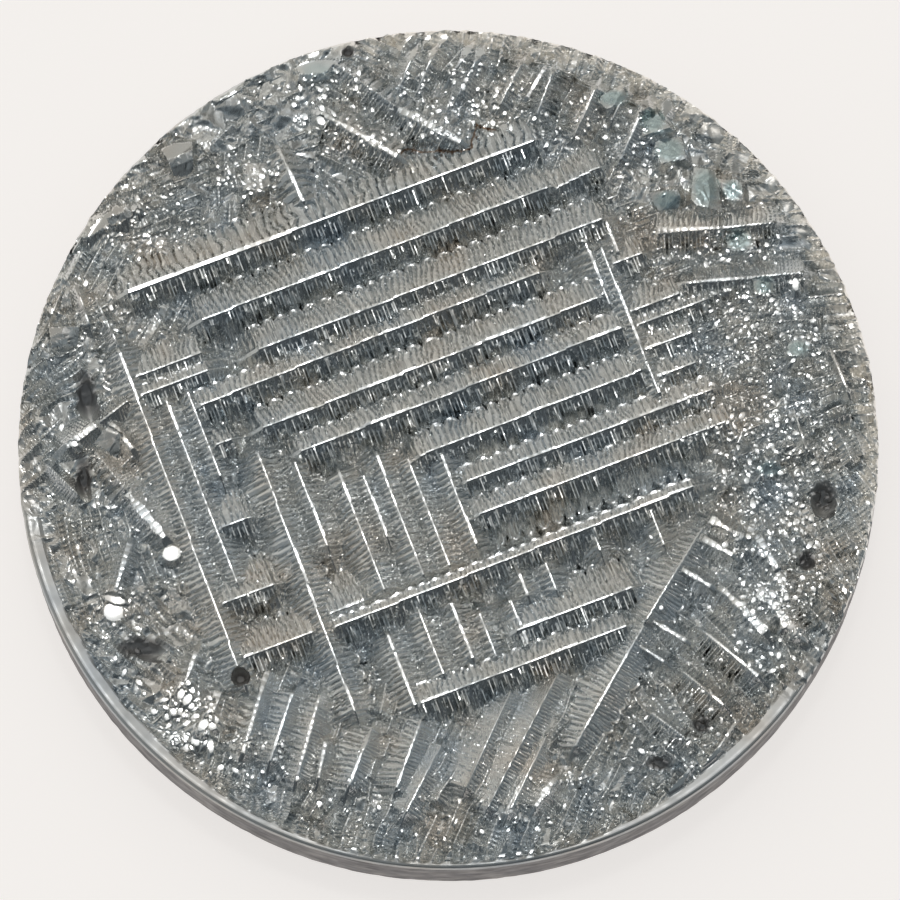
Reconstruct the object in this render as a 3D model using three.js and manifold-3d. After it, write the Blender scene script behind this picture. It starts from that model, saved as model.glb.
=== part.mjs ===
// A cast disc of metallic tellurium, lying on its flat underside with its crystal face up.
// Millimetres, +Z up. The origin is the centre of the underside, and +Y is away from the viewer.

import * as THREE from 'three';
import { ConvexGeometry } from 'three/addons/geometries/ConvexGeometry.js';
import { mergeVertices } from 'three/addons/utils/BufferGeometryUtils.js';
import Module from 'manifold-3d';

// Driving dimensions of the disc
const RADIUS = 17.5; // widest, at the top of the side wall
const THICKNESS = 4.0; // underside to the highest crests
const VALLEY = 3.5; // the level between the ridges
const SHOULDER_START = 16.1; // where the crystal face starts to round over
const WALL_TOP = 3.2; // the shoulder meets the side wall here
const DRAFT = 0.12; // how much the wall narrows towards the underside
const FOOT_ROUND = 0.3; // rounded lower edge
const AROUND = 96; // segments round the disc

// The rounded shoulder from the side wall to the crystal face: how far in from the edge, height
const SHOULDER = [
  [0.06, 3.34],
  [0.25, 3.44],
  [0.6, 3.49],
];

// The crystals stay under this slope at the rim: how far in from the edge, height
const CRYSTAL_LIMIT = [
  [0.4, WALL_TOP],
  [1.2, 3.75],
  [2.2, THICKNESS],
];

// Driving dimensions of the ridges
const GRAIN_TURN = THREE.MathUtils.degToRad(21); // the long ridges lie 21 degrees off +X
const ROOT = VALLEY - 0.35; // depth at which a ridge's foot is buried
const LONG_FLANK = 1.85; // plan width over height of the far flank of a long ridge
const SHORT_FLANK = 1.45; // the same for its near flank
const CROSS_FLANK = 1.25; // the same for both flanks of a cross ridge
const OUTER_LEFT_FLANK = 1.3; // the same for the left flank of a ridge of the outer grains
const OUTER_RIGHT_FLANK = 1.2; // and for its right flank
const END_FLANK = 0.6; // a ridge's end slopes, over its steeper flank

// Driving dimensions of the comb teeth on the long ridges' near flanks
const TOOTH_PITCH = 0.95;
const TOOTH_WIDTH = 0.3;
const TOOTH_RISE = 0.14; // how far a tooth stands out of its flank
const TOOTH_START = 0.1; // it leaves the flank this share of the way down
const TOOTH_JUT = 0.8; // and stands out most this share of the way down
const TOOTH_SINK = 0.25; // its upper edges are sunk by this share of the fall
const TOOTH_TIP = 0.01; // its upper tip is proud by this share of the fall
const TOOTH_TOE = VALLEY - 0.12; // its toe is buried to this height
const TOOTH_WANDER = 0.22; // how far it is off its even place, over the pitch
const WANDER_STEP = 2.4; // radians from one tooth's wander to the next

// Driving dimensions of the flat crystals and the pits
const BLOCK_SPREAD = 1.3; // a flat crystal's foot over its top
const PIT_SIDES = 7;
const PIT_MOUTH = 1.3; // a pit's mouth over its stated radius, past the face
const PIT_FLOOR = 0.35; // its floor over its mouth
const PIT_OVER = 0.6; // how far the cutting cone stands over the valley level

// Long parallel ridges of the middle grain: from, across, to, across, crest height.
// Along and across are in the grain's own turned axes.
const LONG_RIDGES = [
  [-9.9, 10.55, 7.8, 10.55, 4.0],
  [-7.5, 8.4, 7.6, 8.55, 3.97],
  [-11.0, 6.35, -8.0, 6.35, 3.86],
  [-5.8, 6.4, 9.2, 6.5, 3.98],
  [-8.8, 5.1, 6.0, 5.35, 3.93],
  [-6.8, 3.3, 7.8, 3.5, 3.96],
  [-5.7, 1.85, 8.3, 2.0, 3.94],
  [-1.3, -0.05, 8.4, 0.05, 3.96],
  [0.1, -1.7, 10.8, -1.7, 3.9],
  [0.1, -3.15, 11.0, -3.15, 3.95],
  [-7.0, -5.45, 8.6, -5.2, 3.94],
  [-10.9, -5.3, -7.9, -5.3, 3.84],
  [-10.9, -2.9, -8.7, -2.9, 3.84],
  [-0.2, -8.2, 4.8, -8.2, 3.88],
  [-4.9, -9.6, 4.0, -9.6, 3.9],
  [8.9, 4.65, 10.2, 4.65, 3.8],
  [8.8, 2.5, 11.0, 2.5, 3.82],
  [8.8, 0.8, 10.9, 0.8, 3.82],
];

// Cross ridges of the middle grain, in the same axes
const CROSS_RIDGES = [
  [-11.1, 8.3, -11.25, -6.2, 3.98],
  [-10.05, 5.8, -10.05, -2.3, 3.8],
  [-9.1, 5.8, -9.1, 2.1, 3.82],
  [-7.35, 2.4, -7.5, -9.0, 3.95],
  [-6.1, 1.5, -6.1, -2.2, 3.86],
  [-4.6, 0.5, -4.6, -4.7, 3.88],
  [-2.9, 0.6, -2.9, -4.7, 3.88],
  [-1.75, 0.0, -1.75, -4.7, 3.86],
  [-0.45, -0.3, -0.45, -4.3, 3.86],
  [-5.15, -6.5, -5.15, -9.6, 3.84],
  [-3.6, -6.0, -3.6, -8.8, 3.82],
  [-2.3, -6.2, -2.3, -8.6, 3.82],
  [8.7, 5.4, 8.7, -1.1, 3.9],
];

// Ridges of the outer grains: from X, Y, to X, Y, crest height
const OUTER_RIDGES = [
  // Falling to the right at the far side
  [-5.2, 13.85, -2.1, 12.0, 3.95],
  [-4.7, 16.0, 0.5, 12.6, 3.96],
  [-6.9, 12.3, -5.9, 10.1, 3.88],
  // Rising to the right at the far side
  [-2.0, 14.9, -1.4, 16.4, 3.8],
  [-1.3, 14.7, -0.6, 16.4, 3.82],
  [0.4, 14.6, 1.3, 16.4, 3.85],
  [2.1, 14.2, 3.0, 16.0, 3.85],
  [3.6, 13.8, 4.3, 15.7, 3.85],
  [5.1, 12.9, 6.0, 14.9, 3.86],
  [7.0, 11.9, 8.0, 14.2, 3.86],
  // Level bars at the right
  [8.5, 8.9, 13.3, 9.25, 3.92],
  [9.5, 6.75, 14.4, 7.15, 3.92],
  // The near grain: a fan that leans to the right
  [-6.3, -10.3, -7.2, -13.1, 3.85],
  [-5.2, -10.4, -6.15, -13.9, 3.88],
  [-3.1, -11.7, -4.0, -14.1, 3.86],
  [-1.1, -11.4, -2.1, -14.2, 3.84],
  [-0.3, -12.4, -1.7, -15.2, 3.84],
  [2.6, -10.0, 0.7, -13.8, 3.86],
  [4.5, -9.3, 1.6, -14.6, 3.88],
  [4.3, -11.3, 2.4, -15.0, 3.82],
  [-7.3, -9.3, -8.3, -12.8, 3.87],
  [-9.3, -10.2, -9.8, -12.0, 3.8],
  [-10.2, -8.6, -10.8, -10.4, 3.82],
  // The long slanting crest at the right of the near side, and the bars on its far flank
  [10.3, -3.4, 5.1, -12.5, 3.97],
  [5.1, -12.5, 3.5, -15.0, 3.85],
  [10.6, -3.1, 11.9, -3.9, 3.85],
  [11.1, -6.0, 12.8, -7.8, 3.88],
  [12.6, -6.0, 14.1, -7.9, 3.86],
  [12.5, -3.8, 13.7, -6.5, 3.86],
  [10.4, -7.8, 12.5, -9.6, 3.84],
  [9.5, -9.4, 11.1, -10.8, 3.84],
  [8.2, -11.1, 9.7, -12.3, 3.8],
  [11.7, -11.3, 10.3, -13.4, 3.8],
  [9.9, -13.2, 9.0, -14.3, 3.75],
  // Blades at the left
  [-15.5, -0.1, -13.0, 1.8, 3.9],
  [-14.3, -0.3, -11.5, -3.9, 3.92],
  [-12.9, -4.1, -13.5, -6.6, 3.9],
  [-14.3, 6.0, -13.4, 4.1, 3.85],
  [-13.7, 0.9, -12.8, -0.2, 3.8],
  // Arcs at the right edge
  [15.5, 4.0, 16.2, 2.2, 3.75],
  [14.0, 1.5, 14.5, -0.2, 3.8],
];

// Flat crystals: centre X, Y, half length, half width, turn in degrees, rise at the top, fall across it
const BLOCKS = [
  [9.0, 12.3, 0.6, 0.55, 5, 0.3, 0.16],
  [10.45, 10.7, 0.55, 0.85, -4, 0.34, 0.14],
  [11.8, 8.5, 0.5, 0.45, 0, 0.26, 0.16],
  [12.8, 6.6, 0.4, 0.35, 5, 0.26, 0.1],
  [14.2, 4.0, 0.45, 0.35, 0, 0.24, 0.12],
  [-10.9, 11.9, 0.6, 0.7, 12, 0.3, 0.2],
  [-7.8, 11.2, 0.6, 0.75, 0, 0.28, 0.16],
  [-5.4, 15.6, 0.65, 0.4, 0, 0.22, 0.16],
  [-13.8, 0.2, 0.6, 0.5, -35, 0.2, 0.16],
  [-15.6, 4.5, 0.6, 0.4, 10, 0.14, 0.12],
  [6.5, 4.85, 0.5, 0.9, 21, 0.34, 0.1],
  [8.9, 10.2, 0.55, 0.4, 10, 0.2, 0.16],
  [14.1, 6.7, 0.5, 0.4, 0, 0.24, 0.1],
  [13.0, -1.0, 0.6, 0.4, 30, 0.22, 0.14],
  [12.6, 2.6, 0.5, 0.6, -15, 0.24, 0.14],
  [-11.3, -4.6, 0.55, 0.4, 0, 0.26, 0.06],
  [-13.6, -7.0, 0.45, 0.4, 0, 0.26, 0.06],
  [-9.0, 15.0, 0.7, 0.35, 30, 0.16, 0.2],
  [-13.4, 9.6, 0.9, 0.35, 20, 0.2, 0.16],
];

// Pits: centre X, Y, radius along and across, turn in degrees, depth
const PITS = [
  [15.2, -2.1, 0.6, 0.75, 0, 0.45],
  [14.5, -4.7, 0.4, 0.45, 0, 0.4],
  [-12.4, -8.3, 1.1, 0.5, -15, 0.45],
  [-14.7, 2.2, 0.45, 1.0, 10, 0.45],
  [-14.8, -1.2, 0.35, 0.9, 8, 0.4],
  [10.2, -11.5, 0.45, 0.35, -40, 0.35],
  [8.5, -13.1, 0.6, 0.3, -10, 0.35],
  [-8.4, -9.6, 0.35, 0.3, 0, 0.35],
  [-4.1, 16.5, 0.3, 0.25, 0, 0.3],
];

const SILVER_GREY = new THREE.Color(0.6, 0.61, 0.62);

const wasm = await Module();
wasm.setup();

function solidOf(geometry) {
  geometry.deleteAttribute('normal');
  geometry.deleteAttribute('uv');
  const closed = mergeVertices(geometry);
  const mesh = new wasm.Mesh({
    numProp: 3,
    vertProperties: new Float32Array(closed.attributes.position.array),
    triVerts: new Uint32Array(closed.index.array),
  });
  return new wasm.Manifold(mesh);
}

function geometryOf(solid) {
  const mesh = solid.getMesh();
  const geometry = new THREE.BufferGeometry();
  geometry.setAttribute('position', new THREE.BufferAttribute(new Float32Array(mesh.vertProperties), 3));
  geometry.setIndex(new THREE.BufferAttribute(new Uint32Array(mesh.triVerts), 1));
  geometry.computeVertexNormals();
  return geometry;
}

// A solid turned about the disc's axis, from a profile that starts and ends on the axis
function turned(profile) {
  const lathe = new THREE.LatheGeometry(profile.map(([r, z]) => new THREE.Vector2(r, z)), AROUND);
  lathe.rotateX(Math.PI / 2);
  return solidOf(lathe);
}

// The cast body without its crystals
function castBody() {
  const foot = RADIUS - DRAFT;
  const cornerCut = FOOT_ROUND * (1 - Math.SQRT1_2);
  return turned([
    [0, 0],
    [foot - FOOT_ROUND, 0],
    [foot - cornerCut, cornerCut],
    [foot, FOOT_ROUND],
    [RADIUS, WALL_TOP],
    ...SHOULDER.map(([inward, height]) => [RADIUS - inward, height]),
    [SHOULDER_START, VALLEY],
    [0, VALLEY],
  ]);
}

// The space that the crystals keep to, so that none stands past the rim
function crystalSpace() {
  const [[wallInset]] = CRYSTAL_LIMIT;
  const floor = ROOT - FOOT_ROUND;
  return turned([
    [0, floor],
    [RADIUS - wallInset, floor],
    ...CRYSTAL_LIMIT.map(([inward, height]) => [RADIUS - inward, height]),
    [0, THICKNESS],
  ]);
}

function fromGrain(along, across) {
  const place = new THREE.Vector2(along, across);
  return place.rotateAround(new THREE.Vector2(0, 0), GRAIN_TURN);
}

function hull(points) {
  return solidOf(new ConvexGeometry(points));
}

// A roof-shaped ridge. Left and right are the plan widths of its flanks over their height,
// as seen from its start towards its end.
function ridge(start, end, crest, left, right) {
  const forward = end.clone().sub(start).normalize();
  const side = new THREE.Vector2(-forward.y, forward.x);
  const depth = crest - ROOT;
  const runOut = depth * END_FLANK * Math.min(left, right);
  const at = (place, along, across, z) =>
    new THREE.Vector3(
      place.x + forward.x * along + side.x * across,
      place.y + forward.y * along + side.y * across,
      z,
    );
  return hull([
    at(start, 0, 0, crest),
    at(end, 0, 0, crest),
    at(start, -runOut, left * depth, ROOT),
    at(start, -runOut, -right * depth, ROOT),
    at(end, runOut, left * depth, ROOT),
    at(end, runOut, -right * depth, ROOT),
  ]);
}

// Teeth that run from the crest down one flank: width is the flank's plan width over its height,
// and turnSide is 1 for the left flank and -1 for the right one.
function teeth(start, end, crest, width, turnSide) {
  const length = end.distanceTo(start);
  const forward = end.clone().sub(start).normalize();
  const side = new THREE.Vector2(-forward.y, forward.x).multiplyScalar(turnSide);
  const count = Math.floor(length / TOOTH_PITCH);
  const fall = crest - VALLEY;
  const toe = fall * width;
  const half = TOOTH_WIDTH / 2;
  const solids = [];
  for (let i = 0; i < count; i += 1) {
    const wander = TOOTH_WANDER * Math.sin(i * WANDER_STEP + length);
    const middle = (i + 0.5 + wander) * TOOTH_PITCH;
    const at = (along, across, z) =>
      new THREE.Vector3(
        start.x + forward.x * (middle + along) + side.x * across,
        start.y + forward.y * (middle + along) + side.y * across,
        z,
      );
    const edge = crest - (TOOTH_START + TOOTH_SINK) * fall;
    solids.push(
      hull([
        at(0, TOOTH_START * toe, crest - (TOOTH_START - TOOTH_TIP) * fall),
        at(0, TOOTH_JUT * toe, crest - TOOTH_JUT * fall + TOOTH_RISE),
        at(-half, TOOTH_START * toe, edge),
        at(half, TOOTH_START * toe, edge),
        at(-half, toe, TOOTH_TOE),
        at(half, toe, TOOTH_TOE),
      ]),
    );
  }
  return solids;
}

function longRidges() {
  return LONG_RIDGES.flatMap(([along, across, alongEnd, acrossEnd, crest]) => {
    const start = fromGrain(along, across);
    const end = fromGrain(alongEnd, acrossEnd);
    return [
      ridge(start, end, crest, LONG_FLANK, SHORT_FLANK),
      ...teeth(start, end, crest, SHORT_FLANK, -1),
    ];
  });
}

function crossRidges() {
  return CROSS_RIDGES.map(([along, across, alongEnd, acrossEnd, crest]) =>
    ridge(fromGrain(along, across), fromGrain(alongEnd, acrossEnd), crest, CROSS_FLANK, CROSS_FLANK),
  );
}

function outerRidges() {
  return OUTER_RIDGES.map(([x, y, xEnd, yEnd, crest]) => {
    const start = new THREE.Vector2(x, y);
    const end = new THREE.Vector2(xEnd, yEnd);
    return ridge(start, end, crest, OUTER_LEFT_FLANK, OUTER_RIGHT_FLANK);
  });
}

// A flat-topped crystal whose top falls towards the viewer
function block([x, y, halfLength, halfWidth, turn, rise, fall]) {
  const corners = [[1, 1], [-1, 1], [-1, -1], [1, -1]];
  const middle = new THREE.Vector2(x, y);
  const angle = THREE.MathUtils.degToRad(turn);
  const corner = (along, across) =>
    new THREE.Vector2(x + along * halfLength, y + across * halfWidth).rotateAround(middle, angle);
  const points = corners.flatMap(([i, j]) => {
    const top = corner(i, j);
    const foot = corner(BLOCK_SPREAD * i, BLOCK_SPREAD * j);
    return [
      new THREE.Vector3(top.x, top.y, VALLEY + rise + (j * fall) / 2),
      new THREE.Vector3(foot.x, foot.y, ROOT),
    ];
  });
  return hull(points);
}

// A pit is a blunt seven-sided cone that stands on its small end
function pit([x, y, along, across, turn, depth]) {
  const height = depth + PIT_OVER;
  const cone = new THREE.CylinderGeometry(1, PIT_FLOOR, height, PIT_SIDES);
  cone.rotateX(Math.PI / 2);
  cone.scale(along * PIT_MOUTH, across * PIT_MOUTH, 1);
  cone.rotateZ(THREE.MathUtils.degToRad(turn));
  cone.translate(x, y, VALLEY - depth + height / 2);
  return solidOf(cone);
}

function joined(solids) {
  return solids.reduce((whole, next) => whole.add(next));
}

const crystals = joined([...longRidges(), ...crossRidges(), ...outerRidges(), ...BLOCKS.map(block)]);
const disc = castBody().add(crystals.intersect(crystalSpace())).subtract(joined(PITS.map(pit)));

const telluriumDisc = new THREE.Mesh(
  geometryOf(disc),
  new THREE.MeshStandardMaterial({ color: SILVER_GREY, roughness: 0.35, metalness: 1.0, flatShading: true }),
);
telluriumDisc.name = 'tellurium_disc';

const part = new THREE.Group();
part.add(telluriumDisc);

export default part;
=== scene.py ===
"""A cast disc of metallic tellurium: dendrite ridges on its open face, a round rim and a flat underside."""

import math

import bmesh
import bpy
import numpy as np
from mathutils import Matrix, Vector


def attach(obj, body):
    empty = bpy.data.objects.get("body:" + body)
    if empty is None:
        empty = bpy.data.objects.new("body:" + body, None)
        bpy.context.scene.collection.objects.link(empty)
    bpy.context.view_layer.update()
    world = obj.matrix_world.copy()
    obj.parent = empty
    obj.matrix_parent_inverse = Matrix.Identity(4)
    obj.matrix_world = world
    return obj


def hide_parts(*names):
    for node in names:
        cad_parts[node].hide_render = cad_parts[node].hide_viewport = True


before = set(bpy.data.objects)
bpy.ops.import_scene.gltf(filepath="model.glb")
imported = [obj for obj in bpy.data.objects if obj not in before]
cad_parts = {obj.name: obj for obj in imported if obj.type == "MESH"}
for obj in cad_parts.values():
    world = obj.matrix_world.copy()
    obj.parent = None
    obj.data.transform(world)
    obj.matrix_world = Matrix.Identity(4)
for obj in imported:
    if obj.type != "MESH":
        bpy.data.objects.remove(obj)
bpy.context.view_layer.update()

MM = 0.001
RNG = np.random.default_rng(52)

# Driving sizes of the disc, in millimetres, as in the part
RADIUS = 17.5
THICKNESS = 4.0
VALLEY = 3.5  # about the level of the ground between the ridges
WALL_TOP = 3.2  # the side wall ends here and the edge rounds over
DRAFT = 0.12  # how much narrower the wall is at its foot
FOOT_ROUND = 0.3
GRAIN_TURN = math.radians(21)  # the long ridges of the middle grain run this way

# Fineness of the surface
CELL = 0.047  # side of a cell of the plates' grid
RIM_SEGMENTS = 1600
FLOOR_RINGS = 14  # rings of points on the underside
FIRST_RING = 1.5  # radius of the innermost of them
FOOT_RINGS = 6
WALL_RINGS = 14
EDGE_RINGS = 25  # rings of points between the wall and the plates
EDGE_GAP = 0.015  # how far inside the wall the outermost of them lies
PLATE_RADIUS = 16.3  # the four plates of the crystal face reach this far, and the rim takes over
PLATE_OVERLAP = 0.1  # the plates run on this far below the rim piece
PLATE_PLUNGE = 6.0  # steepness of that hidden part
RIM_OVERLAP = 0.15  # the rim piece's open face reaches this far inside the plates' radius
SLAB_FLOOR = 2.5  # the plates' hidden lower side
SEAT = 2.6  # the rim piece's hidden floor under them
LOW_MARK = -1  # marks the points of a plate's lower side until they get their height

# Flank styles: rib spacing, rib depth, share of ribs that are thin blades
FLANKS = {
    "fine": dict(pitch=0.22, depth=0.062, blades=0.0),
    "wavy": dict(pitch=0.36, depth=0.11, blades=0.0),
    "plain": dict(pitch=0.14, depth=0.022, blades=0.0),
    "blade": dict(pitch=0.165, depth=0.05, blades=0.95),
}
CREST = 0.028  # half width of the bright line along a ridge of the middle grain
BEAD = 0.30  # spacing of the round beads along a broad outer crest
BEADED_FROM = 0.065  # crests with a half width above this are chains of beads
OUTER_BEND = 0.11  # how much the crests of the outer ridges bend down, over their length
MIDDLE_RADIUS = 11.3  # the middle grain's deep valleys lie inside this radius
RIDGE_HALF_WIDTH = 1.6  # a ridge changes nothing farther from its crest than this
RIGHT_REACH = 1.3  # how far down a ridge's right flank runs
TOE_FALL = 2.6  # steepness below a flank's ledge
END_FALL = 0.9  # steepness past a ridge's ends
TWISTED_FROM = 0.03  # ribs deeper than this are twisted
BLADE_HALF_WIDTH = 0.026
NO_HEIGHT = -9.0  # below everything, where a shape has nothing
PIT_TILT = 0.45  # rise of a pit's floor towards the far side, which leaves it dark
FINEST = 0.003  # height of the finest unevenness of the whole face
FLASH_LEAN = 0.04  # how much the listed flashes may lean, per millimetre
FLASH_CURVE = 0.11  # how domed the flecks are
FLECK_RISE = 0.02  # how far a fleck stands above the face round it
GLITTER_SPREAD = 1.15  # how far a patch of glitter spreads, over its listed reach

# The edge of the disc
LIP_NARROW = 0.36  # the smooth cast lip at the middle of the near edge
LIP_WIDTH = 0.75  # how much it widens towards the sides
NEAR_MIDDLE = (-0.2, -0.97)  # where the smooth near edge is centred, in plan
FAR_MIDDLE = (0.66, 0.75)  # where the pale grainy far edge is centred
EDGE_CRUMBLE = 0.01  # how much of the radius crumbles away at the edge
WALL_WRINKLE = 0.018  # depths of the broad and the fine wrinkles of the wall
WALL_GRAIN = 0.012

# Colours and finishes, where a ramp is a list of places and colours
BARE_METAL = [(0.3, (0.60, 0.64, 0.67)), (0.5, (0.67, 0.68, 0.67)), (0.7, (0.70, 0.67, 0.63))]
# Dull cast skin; its darkness is also painted shade, standing in for the shadowed floor that the side wall
# mirrors
DULL_SKIN_AND_SHADE = [(0.32, (0.115, 0.11, 0.115)), (0.52, (0.185, 0.175, 0.175)), (0.68, (0.28, 0.265, 0.255))]
FILM_COLOUR = (0.50, 0.60, 0.61, 1)  # bluish film of the flat crystals at the far side
# The pale grain's near-white colour is also painted light on the far shoulder
FROST_AND_LIGHT_COLOUR = (0.95, 0.92, 0.87, 1)  # pale grain of the far edge
STAIN_COLOUR = (0.27, 0.16, 0.09, 1)
STAIN_HALF_WIDTH = 0.04
LIP_SKIN = 0.28  # how much dull skin the lip has, where the wall has 1
# How much painted shade darkens the deep pits, in the dark skin colour, where the wall has 1
PIT_SHADE = 0.8
BRIGHT_ROUGHNESS = (0.13, 0.28)
MATT_ROUGHNESS = (0.44, 0.60)
FROST_MATT = 0.45  # how matt the pale grain is, where the wall's skin is 1

# Light and camera
KEY_DIRECTION = (0, 77)  # azimuth and elevation: level crests mirror it to the camera
KEY_DISTANCE = 1.0
KEY_SIZE = 0.12
KEY_WATTS = 0.5
KEY_GLOW_FROM = 0.93  # cosine of the angle from the key light at which its glow starts
KEY_GLOW = 0.6
SKY_BEHIND = (-0.25, 0.97, 0.0)  # the bright side of the sky, behind the disc
SKY_COLOURS = [
    (0.0, (0.065, 0.072, 0.078)),
    (0.18, (0.10, 0.116, 0.126)),
    (0.34, (0.25, 0.28, 0.295)),
    (0.5, (0.34, 0.35, 0.345)),
    (0.7, (0.50, 0.495, 0.465)),
    (1.0, (0.60, 0.585, 0.545)),
]
SIDE_FADE = -0.5  # how the sky behind fades towards the right
CLOUD_SCALE = 2.6
CLOUD_LIGHT = (0.45, 1.5)  # brightness of the darkest and the lightest cloud
FLOOR_COLOUR = (0.45, 0.44, 0.43, 1)
FLOOR_GLOW_COLOUR = (0.9, 0.865, 0.84, 1)
FLOOR_GLOW = 0.79
FLOOR_HALF_SIDE = 1.5
CAMERA_ELEVATION = 77.2
CAMERA_DISTANCE = 0.6
PHOTO_SIDE = 900
DISC_PIXELS = 863.5  # width of the disc in the photograph
MM_PER_PIXEL = 2 * RADIUS / DISC_PIXELS
TOP_CENTRE_PIXEL = (448.5, 445.7)  # where the middle of the open face lies in the photograph

# Grains of the casting between the listed ridges: middle X, Y, the direction of their fine ridges
# in degrees, the ridges' spacing and height, and how folded they are, from 0 to 1 for facets alone
GRAINS = [
    (-3.5, -3.5, 111, 0.42, 0.20, 0.15),
    (3.0, 3.0, 21, 0.50, 0.20, 0.15),
    (-8.5, 0.5, 111, 0.42, 0.22, 0.25),
    (7.0, 7.5, 21, 0.45, 0.22, 0.25),
    (9.3, 3.0, 21, 0.45, 0.22, 0.2),
    (-3.0, 13.6, -32, 0.60, 0.24, 0.3),
    (0.5, 15.2, 66, 0.62, 0.26, 0.2),
    (5.0, 13.8, 66, 0.62, 0.26, 0.25),
    (8.8, 12.2, 66, 0.60, 0.26, 0.55),
    (12.0, 9.0, 3, 0.55, 0.26, 0.4),
    (14.0, 5.5, 4, 0.5, 0.32, 0.2),
    (12.6, 1.5, 12, 0.5, 0.32, 0.15),
    (14.8, -2.5, -60, 0.46, 0.32, 0.3),
    (12.2, -6.8, -47, 0.62, 0.26, 0.2),
    (10.2, -11.0, -50, 0.55, 0.26, 0.25),
    (6.0, -13.8, 62, 0.55, 0.24, 0.15),
    (1.2, -13.6, 66, 0.60, 0.22, 0.1),
    (-3.5, -13.5, 74, 0.62, 0.24, 0.15),
    (-8.0, -12.0, 76, 0.55, 0.26, 0.3),
    (-12.2, -9.2, -40, 0.55, 0.30, 0.5),
    (-14.0, -5.2, -72, 0.5, 0.28, 0.45),
    (-14.4, 1.0, 38, 0.6, 0.26, 0.5),
    (-13.8, 6.2, 60, 0.5, 0.28, 0.5),
    (-11.8, 10.5, 20, 0.45, 0.28, 0.5),
    (-8.5, 11.0, 92, 0.40, 0.22, 0.3),
    (-9.8, 13.8, 45, 0.7, 0.30, 0.85),
    (-6.8, 15.0, 20, 0.6, 0.30, 0.75),
]
LONG_FLANK = 2.1
SHORT_FLANK = 1.2
CROSS_FLANK = 1.25
FAR_SHARE = 0.56  # how much of the gap to the next long ridge the far flank takes
LEDGE = 0.11  # width of the level ledge where a far flank breaks off

# Long ridges of the middle grain, in its own turned axes: along, across, along, across, crest height
LONG_RIDGES = [
    (-9.9, 10.55, 7.8, 10.55, 4.0),
    (-7.5, 8.4, 7.6, 8.55, 3.97),
    (-11.0, 6.35, -8.0, 6.35, 3.86),
    (-5.8, 6.4, 9.2, 6.5, 3.98),
    (-8.8, 5.1, 6.0, 5.35, 3.93),
    (-6.8, 3.3, 7.8, 3.5, 3.96),
    (-5.7, 1.85, 8.3, 2.0, 3.94),
    (-1.3, -0.05, 8.4, 0.05, 3.96),
    (0.1, -1.7, 10.8, -1.7, 3.9),
    (0.1, -3.15, 11.0, -3.15, 3.95),
    (-7.0, -5.45, 8.6, -5.2, 3.94),
    (-10.9, -5.3, -7.9, -5.3, 3.84),
    (-10.9, -2.9, -8.7, -2.9, 3.84),
    (-0.2, -8.2, 4.8, -8.2, 3.88),
    (-4.9, -9.6, 4.0, -9.6, 3.9),
    (8.9, 4.65, 10.2, 4.65, 3.8),
    (8.8, 2.5, 11.0, 2.5, 3.82),
    (8.8, 0.8, 10.9, 0.8, 3.82),
    (-11.0, 7.15, -8.0, 7.15, 3.8),
    (-9.8, 0.05, -8.7, 0.05, 3.8),
    (8.8, 1.9, 12.0, 1.9, 3.76),
    (8.8, -0.4, 10.6, -0.4, 3.8),
    (-7.0, -4.8, -5.5, -4.8, 3.78),
    (-8.8, 3.35, -8.1, 3.35, 3.8),
    (7.9, 8.4, 9.9, 8.6, 3.84),
]

# Cross ridges of the middle grain, in the same axes
CROSS_RIDGES = [
    (-11.1, 8.3, -11.25, -6.2, 3.98),
    (-10.05, 5.8, -10.05, -2.3, 3.8),
    (-9.1, 5.8, -9.1, 2.1, 3.82),
    (-7.35, 2.4, -7.5, -9.0, 3.95),
    (-6.1, 1.5, -6.1, -2.2, 3.86),
    (-4.6, 0.5, -4.6, -4.7, 3.88),
    (-3.7, 0.0, -3.7, -2.7, 3.8),
    (-2.9, 0.6, -2.9, -4.7, 3.88),
    (-1.75, 0.0, -1.75, -4.7, 3.86),
    (-0.45, -0.3, -0.45, -4.3, 3.86),
    (-5.15, -6.5, -5.15, -9.6, 3.84),
    (-3.6, -6.0, -3.6, -8.8, 3.82),
    (-2.3, -6.2, -2.3, -8.6, 3.82),
    (-1.35, -7.0, -1.35, -8.9, 3.78),
    (0.0, -7.0, 0.0, -8.9, 3.8),
    (8.7, 5.4, 8.7, -1.1, 3.9),
    (8.2, 6.4, 8.2, 3.1, 3.8),
    (9.3, 6.4, 9.3, 5.0, 3.8),
    (0.75, -5.6, 0.75, -7.0, 3.8),
    (1.9, -6.0, 1.9, -7.2, 3.78),
    (4.15, -5.5, 4.15, -6.3, 3.78),
    (6.65, -5.5, 6.65, -7.0, 3.78),
]

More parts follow.
